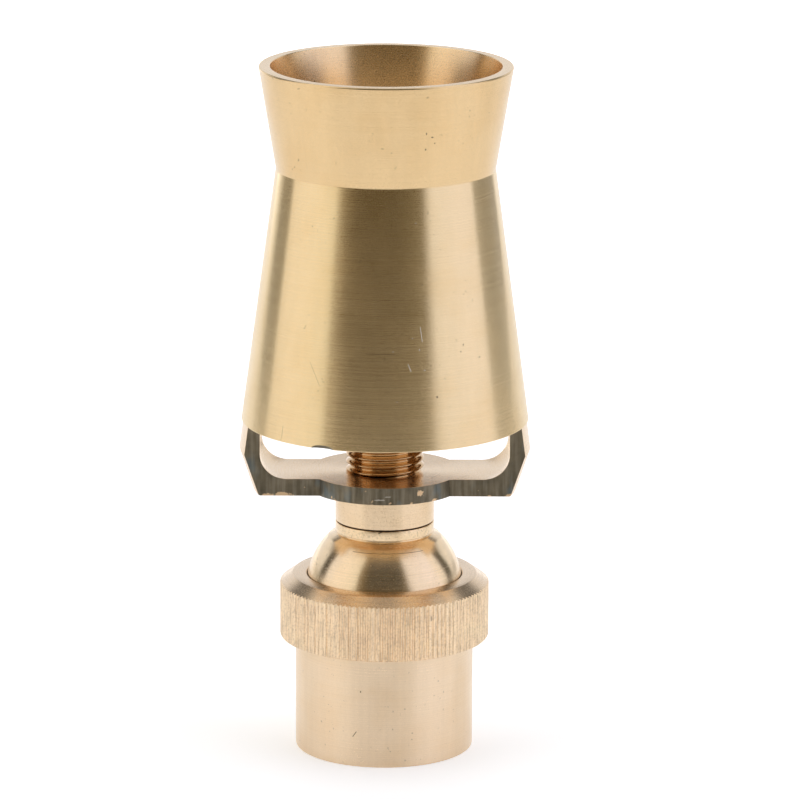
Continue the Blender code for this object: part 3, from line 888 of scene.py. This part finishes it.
def riser_stem():
    """A tube with a plain lower shank and a long male thread."""
    low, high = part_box("riser_stem")
    root_r = high.x - STEM_THREAD_DEPTH
    shell = Shell(STEM_SIDES)
    shell.turn(rounded([
        (root_r, high.z),
        (STEM_BORE_R, high.z, SOFT_EDGE),
        (STEM_BORE_R, low.z, SOFT_EDGE),
        (STEM_SHANK_R, low.z, SOFT_EDGE),
        (STEM_SHANK_R, STEM_THREAD_FOOT, SOFT_EDGE),
        (root_r, STEM_THREAD_FOOT),
    ], closed=False))
    shell.thread(root_r, STEM_THREAD_DEPTH, STEM_PITCH, STEM_THREAD_FOOT, high.z)
    return shell.build("stem")


def jet_head():
    """The cap on the stem, with a main jet and a ring of small ones."""
    low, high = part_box("jet_head")
    socket_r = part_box("riser_stem")[1].x + THREAD_GAP
    outline = [
        (socket_r, low.z, FINE_EDGE),
        (high.x, low.z, SOFT_EDGE),
        (high.x, HEAD_SHOULDER, SOFT_EDGE),
        (HEAD_TOP_R, high.z, SOFT_EDGE),
        (MAIN_JET_R, high.z, SOFT_EDGE),
        (MAIN_JET_R, CHAMBER_TOP, FINE_EDGE),
        (socket_r, CHAMBER_TOP),
    ]
    head = turned("jets", outline, HEAD_SIDES)
    for index in range(JETS):
        angle = 2 * math.pi * (index + JET_SHIFT) / JETS
        centre = (JET_CIRCLE_R * math.cos(angle), JET_CIRCLE_R * math.sin(angle))
        hole = prism("hole", circle(centre, JET_R), CHAMBER_TOP - MM, high.z + MM)
        boolean(head, hole, "DIFFERENCE")
    return head


def knurl(count):
    """How far each point round the nut stands out from the tooth valleys, with uneven teeth."""
    rng = np.random.default_rng(NUT_SEED)
    heights = rng.uniform(*NUT_TOOTH_HEIGHTS, NUT_TEETH)
    valleys = rng.uniform(*NUT_VALLEY_HEIGHTS, NUT_TEETH)
    out = np.zeros(count)
    for tooth in range(NUT_TEETH):
        floor = valleys[tooth]
        for part, share in enumerate(NUT_TOOTH_SHAPE):
            out[tooth * NUT_TOOTH_POINTS + part] = floor + (heights[tooth] - floor) * share
    return NUT_TOOTH_DEPTH * out


def clamp_nut(brass, knurled):
    """The clamp nut: a knurled wall with scalloped chamfers, and a female thread inside."""
    low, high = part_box("clamp_nut")
    foot, top = low.z, high.z
    nut_r = (high.x - low.x) / 2
    ring_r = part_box("upper_friction_ring")[1].x + THREAD_GAP
    minor_r = SOCKET_R + NUT_RUNNING_GAP
    thread_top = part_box("inlet_socket")[1].z
    count = NUT_TEETH * NUT_TOOTH_POINTS
    wall_r = nut_r - NUT_TOOTH_DEPTH + knurl(count)
    foot_r = np.minimum(wall_r, nut_r - NUT_FOOT_EDGE)
    slope = (top - NUT_CHAMFER_Z) / (nut_r - NUT_FLAT_R)
    edge_top = NUT_CHAMFER_Z + slope * (nut_r - wall_r)
    edge_foot = foot + wall_r - foot_r
    flat = np.ones(count)

    wall = Shell(count)
    shares = np.linspace(0.0, 1.0, NUT_WALL_ROWS)[:, None]
    wall_rows = np.repeat(wall_r[None, :], NUT_WALL_ROWS, axis=0)
    wall.strip(wall_rows, edge_foot + (edge_top - edge_foot) * shares, slot=1)
    wall.strip(np.stack([foot_r, wall_r]), np.stack([foot * flat, edge_foot]), slot=1)
    chamfer_r = np.stack([wall_r, (wall_r + 3 * NUT_FLAT_R) / 4, (NUT_FLAT_R + FINE_EDGE) * flat])
    wall.strip(chamfer_r, NUT_CHAMFER_Z + slope * (nut_r - chamfer_r))
    crown = np.array([(NUT_FLAT_R + FINE_EDGE, top - slope * FINE_EDGE), (NUT_FLAT_R, top)])
    wall.strip(np.outer(crown[:, 0], flat), np.outer(crown[:, 1], flat))

    inside = Shell(count // 3)
    inside.turn(rounded([
        (NUT_MOUTH_R + FINE_EDGE, top),
        (NUT_MOUTH_R, top - FINE_EDGE),
        (NUT_LIP_R, NUT_LIP_Z),
        (ring_r, NUT_LIP_Z),
        (ring_r, thread_top),
        (minor_r, thread_top),
    ], closed=False))
    inside.thread(minor_r, NUT_THREAD_DEPTH, NUT_PITCH, foot, thread_top)
    wall.join_ring(inside, NUT_FLAT_R, NUT_MOUTH_R + FINE_EDGE, top)
    wall.join_ring(inside, foot_r, minor_r, foot)
    wall.take(inside, 0)
    nut = wall.build("nut")
    nut.data.materials.append(brass)
    nut.data.materials.append(knurled)
    nut.data.set_sharp_from_angle(angle=SHARP_ANGLE)
    return nut


def inlet_socket():
    """The round socket: a pipe thread below, a web, a seat for the ball and the nut's male thread."""
    low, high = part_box("inlet_socket")
    foot, top = low.z, high.z
    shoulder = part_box("clamp_nut")[0].z
    root_r = high.x - NUT_THREAD_DEPTH
    minor_r = PIPE_THREAD_R - PIPE_THREAD_DEPTH
    groove_in = GROOVE_MID_R - GROOVE_HALF_WIDTH
    groove_out = GROOVE_MID_R + GROOVE_HALF_WIDTH
    thread_foot = shoulder + SOCKET_RELIEF
    thread_top = top - SOFT_EDGE
    shell = Shell(SOCKET_SIDES)
    shell.turn(rounded([
        (minor_r, foot + PIPE_CHAMFER),
        (PIPE_THREAD_R, foot, FINE_EDGE),
        (SOCKET_R, foot, SOFT_EDGE),
        (SOCKET_R, shoulder, FINE_EDGE),
        (root_r, shoulder + SOCKET_RELIEF_SLOPE),
        (root_r, thread_foot),
    ], closed=False))
    shell.thread(root_r, NUT_THREAD_DEPTH, NUT_PITCH, thread_foot, thread_top)
    shell.turn(rounded([
        (root_r, thread_top),
        (root_r, top, FINE_EDGE),
        (CAVITY_R, top, SOFT_EDGE),
        (CAVITY_R, SHELF_Z),
        (groove_out, SHELF_Z, FINE_EDGE),
        (groove_out, GROOVE_Z),
        (groove_in, GROOVE_Z),
        (groove_in, SHELF_Z, FINE_EDGE),
        (WELL_R, SHELF_Z, FINE_EDGE),
        (WELL_R, WEB_TOP),
        (WEB_BORE_R, WEB_TOP, SOFT_EDGE),
        (WEB_BORE_R, PIPE_BORE_TOP, SOFT_EDGE),
        (minor_r, PIPE_BORE_TOP),
        (minor_r, PIPE_THREAD_STOP),
    ], closed=False))
    shell.thread(minor_r, PIPE_THREAD_DEPTH, PIPE_PITCH, foot + PIPE_CHAMFER, PIPE_THREAD_STOP)
    return shell.build("socket")


def hidden_rings(plastic, rubber, fibre):
    """The seat, gaskets and washer, each with its material, body, node and slot."""
    rings = []
    cup_r = BALL_R + SEAT_GAP
    low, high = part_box("lower_seat_ring")
    cup_start = -math.degrees(math.acos(SEAT_TOP_R / cup_r))
    cup_end = -math.degrees(math.acos(SEAT_INNER_R / cup_r))
    cup = arc((0.0, BALL_Z), cup_r, cup_start, cup_end, SEAT_STEPS)
    seat = [(SEAT_INNER_R, low.z), (high.x, low.z, FINE_EDGE), (high.x, cup[0][1], FINE_EDGE)] + cup
    rings.append((turned("seat", seat, SEAT_SIDES), plastic, "seat", "lower_seat_ring", "seat_plastic"))

    section = circle((GROOVE_MID_R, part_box("seat_o_ring")[0].z + O_RING_R), O_RING_R)
    rings.append((turned("o_ring", section, SEAT_SIDES), rubber, "inlet", "seat_o_ring", "seal_rubber"))

    for name, node, body, inner, made_of, slot in (
        ("gasket", "stem_gasket", "ball", GASKET_INNER_R, rubber, "seal_rubber"),
        ("friction_ring", "upper_friction_ring", "nut_ring", FRICTION_RING_INNER_R, plastic, "seat_plastic"),
        ("washer", "hub_washer", "hub_ring", WASHER_INNER_R, fibre, "washer_fibre"),
    ):
        low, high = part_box(node)
        edge = min(FINE_EDGE, (high.z - low.z) / 4)
        corners = [(inner, low.z), (high.x, low.z), (high.x, high.z), (inner, high.z)]
        outline = [(*corner, edge) for corner in corners]
        rings.append((turned(name, outline, WASHER_SIDES), made_of, body, node, slot))
    return rings


# ------------------------------------------------------------------- studio


CAMERA_AIM = (2.60 * MM, 0.0, 62.3 * MM)
CAMERA_DISTANCE = 0.9423
CAMERA_ELEVATION = math.radians(13.9)
CAMERA_ROLL = math.radians(0.25)
CAMERA_LENS = 243.0
SENSOR = 36.0
CLIP_START = 0.01
CLIP_END = 20.0

# The floor glows evenly. The camera sees more glow on top: a lift, and a fade that hides the floor's rim,
# given as (near, far, glow when near, glow when far)
FLOOR_R = 0.7
FLOOR_SIDES = 128
FLOOR_NARROWING = 0.6
FLOOR_SET_BACK = 0.33
FLOOR_GLOW = 0.30
FLOOR_LIFT = 0.06
FLOOR_FADE = (0.18, 0.45, 0.0, 0.7)
LIGHT_SIZE = 0.9
LIGHT_PLACE = (0.0, 0.1, 1.1)
LIGHT_RADIANCE = 1.0

# Round the horizon, from straight behind by way of the left: degrees from the front, and brightness
WHITE = (1.05, 1.05, 1.05)
BACKDROP = (1.6, 1.6, 1.6)
LEFT_SOFTBOX = (1.115, 1.08, 1.07)
LEFT_SOFTBOX_EDGE = (1.03, 1.02, 0.97)
RIGHT_SOFTBOX = (1.08, 1.09, 1.29)
RIGHT_SOFTBOX_EDGE = (1.01, 1.03, 1.18)
BLACK_CARD = (0.134, 0.102, 0.056)
LEFT_CARD_EDGE = (0.27, 0.22, 0.14)
RIGHT_CARD_EDGE = (0.20, 0.165, 0.10)
LEFT_GAP = (0.30, 0.285, 0.25)
RIGHT_GAP = (0.36, 0.355, 0.35)
RIGHT_FALL_OFF = (0.36, 0.36, 0.38)
SURROUND = (
    (-180, BACKDROP), (-148, BACKDROP),
    (-128, LEFT_GAP), (-113, LEFT_GAP),
    (-107, LEFT_SOFTBOX), (-80, LEFT_SOFTBOX), (-53, LEFT_SOFTBOX_EDGE),
    (-49, LEFT_CARD_EDGE), (-36, BLACK_CARD), (10, BLACK_CARD), (37, RIGHT_CARD_EDGE),
    (46, RIGHT_SOFTBOX_EDGE), (80, RIGHT_SOFTBOX), (97, RIGHT_SOFTBOX),
    (103, RIGHT_GAP), (122, RIGHT_GAP),
    (142, RIGHT_FALL_OFF), (156, BACKDROP), (180, BACKDROP),
)

# The softboxes' inner edges lean in over the card with height. HEIGHTS are the z of a direction, from where
# a change begins to where it is complete. FROM says the same of its angle from the front, BEHIND of its y
LEFT_LEAN = math.radians(8)
LEFT_LEAN_HEIGHTS = (0.01, 0.09)
RIGHT_LEAN = math.radians(4.5)
RIGHT_LEAN_HEIGHTS = (0.08, 0.30)
HIGH_CARD = (0.085, 0.078, 0.062)
HIGH_CARD_FROM = (math.radians(42), math.radians(30))
HIGH_CARD_HEIGHTS = (0.10, 0.28)
HIGH_SOFTBOX = (1.08, 1.08, 1.15)
HIGH_SOFTBOX_FROM = (math.radians(92), math.radians(97))
HIGH_SOFTBOX_HEIGHTS = (0.0, 0.06)
HIGH_GAP = (0.07, 0.065, 0.055)
HIGH_GAP_FROM = (math.radians(108), math.radians(112))
HIGH_BACKDROP = (0.95, 0.97, 1.02)
HIGH_BACKDROP_FROM = (math.radians(123), math.radians(127))
HIGH_BACKDROP_BEHIND = (0.74, 0.86)
HIGH_BACKDROP_HEIGHTS = (0.08, 0.18)
BACK_GAP = (0.17, 0.17, 0.17)
BACK_GAP_BEHIND = (0.25, 0.45)
BACK_GAP_HEIGHTS = (0.36, 0.50)
CEILING = (1.05, 1.02, 1.00)
CEILING_SHARE = 0.16
CEILING_HEIGHTS = (0.55, 0.92)
BACK_CEILING = (1.35, 1.38, 1.40)
BACK_CEILING_BEHIND = (-0.10, 0.15)
BACK_CEILING_HEIGHTS = (0.68, 0.80)
ZENITH = (0.38, 0.38, 0.38)
ZENITH_HEIGHTS = (0.88, 1.0)


def leaning(tree, azimuth, z):
    """The azimuth, turned a little with height so that upright edges lean."""
    on_left = maths(tree, "LESS_THAN", azimuth, 0.0)
    left_lean = maths(tree, "MULTIPLY", remap(tree, z, *LEFT_LEAN_HEIGHTS, 0.0, -LEFT_LEAN), on_left)
    on_right = maths(tree, "GREATER_THAN", azimuth, 0.0)
    right_lean = maths(tree, "MULTIPLY", remap(tree, z, *RIGHT_LEAN_HEIGHTS, 0.0, RIGHT_LEAN), on_right)
    return maths(tree, "ADD", azimuth, maths(tree, "ADD", left_lean, right_lean))


def horizon(tree, azimuth):
    """The colours of SURROUND, by azimuth."""
    ramp = add_node(tree, "ShaderNodeValToRGB", {"Fac": remap(tree, azimuth, -math.pi, math.pi)})
    stops = ramp.color_ramp.elements
    while len(stops) < len(SURROUND):
        stops.new(1.0)
    for stop, (degrees, colour) in zip(stops, SURROUND):
        stop.position = (degrees + 180) / 360
        stop.color = (*colour, 1.0)
    return ramp.outputs["Color"]


def surroundings():
    """A photo studio all round: softboxes at the sides, a black card in front, a white backdrop behind."""
    world = bpy.data.worlds.new("studio")
    bpy.context.scene.world = world
    world.use_nodes = True
    tree = world.node_tree
    background = tree.nodes["Background"]
    direction = add_node(tree, "ShaderNodeTexCoord").outputs["Generated"]
    x, y, z = add_node(tree, "ShaderNodeSeparateXYZ", {0: direction}).outputs
    azimuth = maths(tree, "ARCTAN2", x, maths(tree, "MULTIPLY", y, -1.0))
    azimuth = leaning(tree, azimuth, z)
    aside = maths(tree, "ABSOLUTE", azimuth)
    around = horizon(tree, azimuth)

    beside = mix_colour(tree, remap(tree, aside, *HIGH_GAP_FROM), HIGH_SOFTBOX, HIGH_GAP)
    beside = mix_colour(tree, remap(tree, aside, *HIGH_BACKDROP_FROM), beside, HIGH_BACKDROP)
    for share, heights, colour in (
        (remap(tree, aside, *HIGH_CARD_FROM), HIGH_CARD_HEIGHTS, HIGH_CARD),
        (remap(tree, aside, *HIGH_SOFTBOX_FROM), HIGH_SOFTBOX_HEIGHTS, beside),
        (remap(tree, y, *HIGH_BACKDROP_BEHIND), HIGH_BACKDROP_HEIGHTS, HIGH_BACKDROP),
        (remap(tree, y, *BACK_GAP_BEHIND), BACK_GAP_HEIGHTS, BACK_GAP),
        (CEILING_SHARE, CEILING_HEIGHTS, CEILING),
        (remap(tree, y, *BACK_CEILING_BEHIND), BACK_CEILING_HEIGHTS, BACK_CEILING),
        (1.0, ZENITH_HEIGHTS, ZENITH),
    ):
        cover = maths(tree, "MULTIPLY", share, remap(tree, z, *heights))
        around = mix_colour(tree, cover, around, colour)
    seen = add_node(tree, "ShaderNodeLightPath").outputs["Is Camera Ray"]
    tree.links.new(mix_colour(tree, seen, around, WHITE), background.inputs["Color"])


def studio_floor():
    """A white oval that gives off a little light, as a lit sweep does, and fades into the white around it."""
    bm = bmesh.new()
    bmesh.ops.create_circle(bm, cap_ends=True, radius=FLOOR_R, segments=FLOOR_SIDES)
    bmesh.ops.scale(bm, verts=bm.verts, vec=(FLOOR_NARROWING, 1.0, 1.0))
    mesh = bpy.data.meshes.new("floor")
    bm.to_mesh(mesh)
    bm.free()
    floor = bpy.data.objects.new("floor", mesh)
    floor.location = (0.0, FLOOR_SET_BACK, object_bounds()[0].z)
    bpy.context.scene.collection.objects.link(floor)
    made, tree, shader = new_material("floor_white")
    shader.inputs["Base Color"].default_value = (0.9, 0.9, 0.9, 1.0)
    shader.inputs["Roughness"].default_value = 0.8
    shader.inputs["Specular IOR Level"].default_value = 0.1
    shader.inputs["Emission Color"].default_value = (1.0, 1.0, 1.0, 1.0)
    distance = length_of(tree, add_node(tree, "ShaderNodeNewGeometry").outputs["Position"])
    fade = maths(tree, "ADD", remap(tree, distance, *FLOOR_FADE), FLOOR_LIFT)
    seen = add_node(tree, "ShaderNodeLightPath").outputs["Is Camera Ray"]
    glow = maths(tree, "ADD", maths(tree, "MULTIPLY", fade, seen), FLOOR_GLOW)
    tree.links.new(glow, shader.inputs["Emission Strength"])
    floor.data.materials.append(made)


def top_light():
    """A square lamp overhead, left out of reflections."""
    data = bpy.data.lights.new("top_light", "AREA")
    data.size = LIGHT_SIZE
    data.energy = LIGHT_RADIANCE * math.pi * LIGHT_SIZE ** 2
    light = bpy.data.objects.new("top_light", data)
    light.location = LIGHT_PLACE
    light.visible_glossy = False
    bpy.context.scene.collection.objects.link(light)


def camera():
    """A long lens, a little above the object and tipped down to it."""
    data = bpy.data.cameras.new("camera")
    data.lens = CAMERA_LENS
    data.sensor_width = SENSOR
    data.clip_start = CLIP_START
    data.clip_end = CLIP_END
    made = bpy.data.objects.new("camera", data)
    bpy.context.scene.collection.objects.link(made)
    back = Vector((0.0, -math.cos(CAMERA_ELEVATION), math.sin(CAMERA_ELEVATION)))
    made.location = Vector(CAMERA_AIM) + CAMERA_DISTANCE * back
    level = (-back).to_track_quat("-Z", "Y").to_matrix()
    made.rotation_euler = (level @ Matrix.Rotation(CAMERA_ROLL, 3, "Z")).to_euler()
    bpy.context.scene.camera = made


# -------------------------------------------------------------------- scene


# The sleeve brass paints shade on the flare above the waist: a darker multiply of its colour.
sleeve_brass = turned_brass(
    "sleeve_brass", (0.87, 0.665, 0.375), (0.11, 0.33), anisotropic=0.5, streak=0.22,
    dark_marks=SLEEVE_PITS, bright_marks=SLEEVE_SCRATCHES,
    flare_painted_shade=(0.945, 0.89, 0.85), foot_haze=(-0.04, 0.065),
)
bore_brass = turned_brass("bore_brass", (0.93, 0.69, 0.41), 0.24, anisotropic=0.5, dark_marks=BORE_PITS)
bracket_brass = turned_brass("bracket_brass", (0.86, 0.655, 0.43), 0.24, pits=0.3)
ball_brass = turned_brass(
    "ball_brass", (0.90, 0.69, 0.44), 0.22, line_depth=0.25, anisotropic=0.75, dark_marks=BALL_MARKS,
    speckled_from=NECK_FOOT,
)
nut_brass = turned_brass("nut_brass", (0.84, 0.64, 0.43), 0.25, anisotropic=0.5)
nut_knurl = knurled_brass("nut_knurl", (0.97, 0.745, 0.50), 0.36)
socket_brass = turned_brass("socket_brass", (0.90, 0.705, 0.49), 0.33, dark_marks=SOCKET_MARKS)
stem_brass = turned_brass("stem_brass", (0.70, 0.465, 0.245), 0.14, anisotropic=0.3)
tarnish = tarnished_brass("tarnished_brass")
bright_edge = turned_brass("bright_edge", (0.92, 0.62, 0.34), 0.35, anisotropic=0.0)
seat_plastic = moulded("seat_plastic", (0.84, 0.83, 0.80), 0.45, 800.0)
seal_rubber = moulded("seal_rubber", (0.03, 0.03, 0.03), 0.6, 1200.0)
washer_fibre = moulded("washer_fibre", (0.05, 0.04, 0.03), 0.8, 1500.0)

# The tarnished brass given to the sleeve is painted shade in its nick.
settle(outer_sleeve(sleeve_brass, bore_brass, tarnish), None, "sleeve", "outer_sleeve", "turned_brass")
settle(sleeve_bracket(bracket_brass, tarnish, bright_edge), None, "sleeve", "sleeve_bracket", "bracket_brass")
settle(swivel_ball(ball_brass), None, "ball", "swivel_ball", "polished_brass")
settle(riser_stem(), stem_brass, "ball", "riser_stem", "threaded_brass")
settle(jet_head(), stem_brass, "ball", "jet_head", "threaded_brass")
settle(clamp_nut(nut_brass, nut_knurl), None, "nut", "clamp_nut", "knurled_brass")
settle(inlet_socket(), socket_brass, "inlet", "inlet_socket", "satin_brass")
for ring in hidden_rings(seat_plastic, seal_rubber, washer_fibre):
    settle(*ring)

studio_floor()
surroundings()
top_light()
camera()
bpy.context.scene.view_settings.view_transform = "Standard"
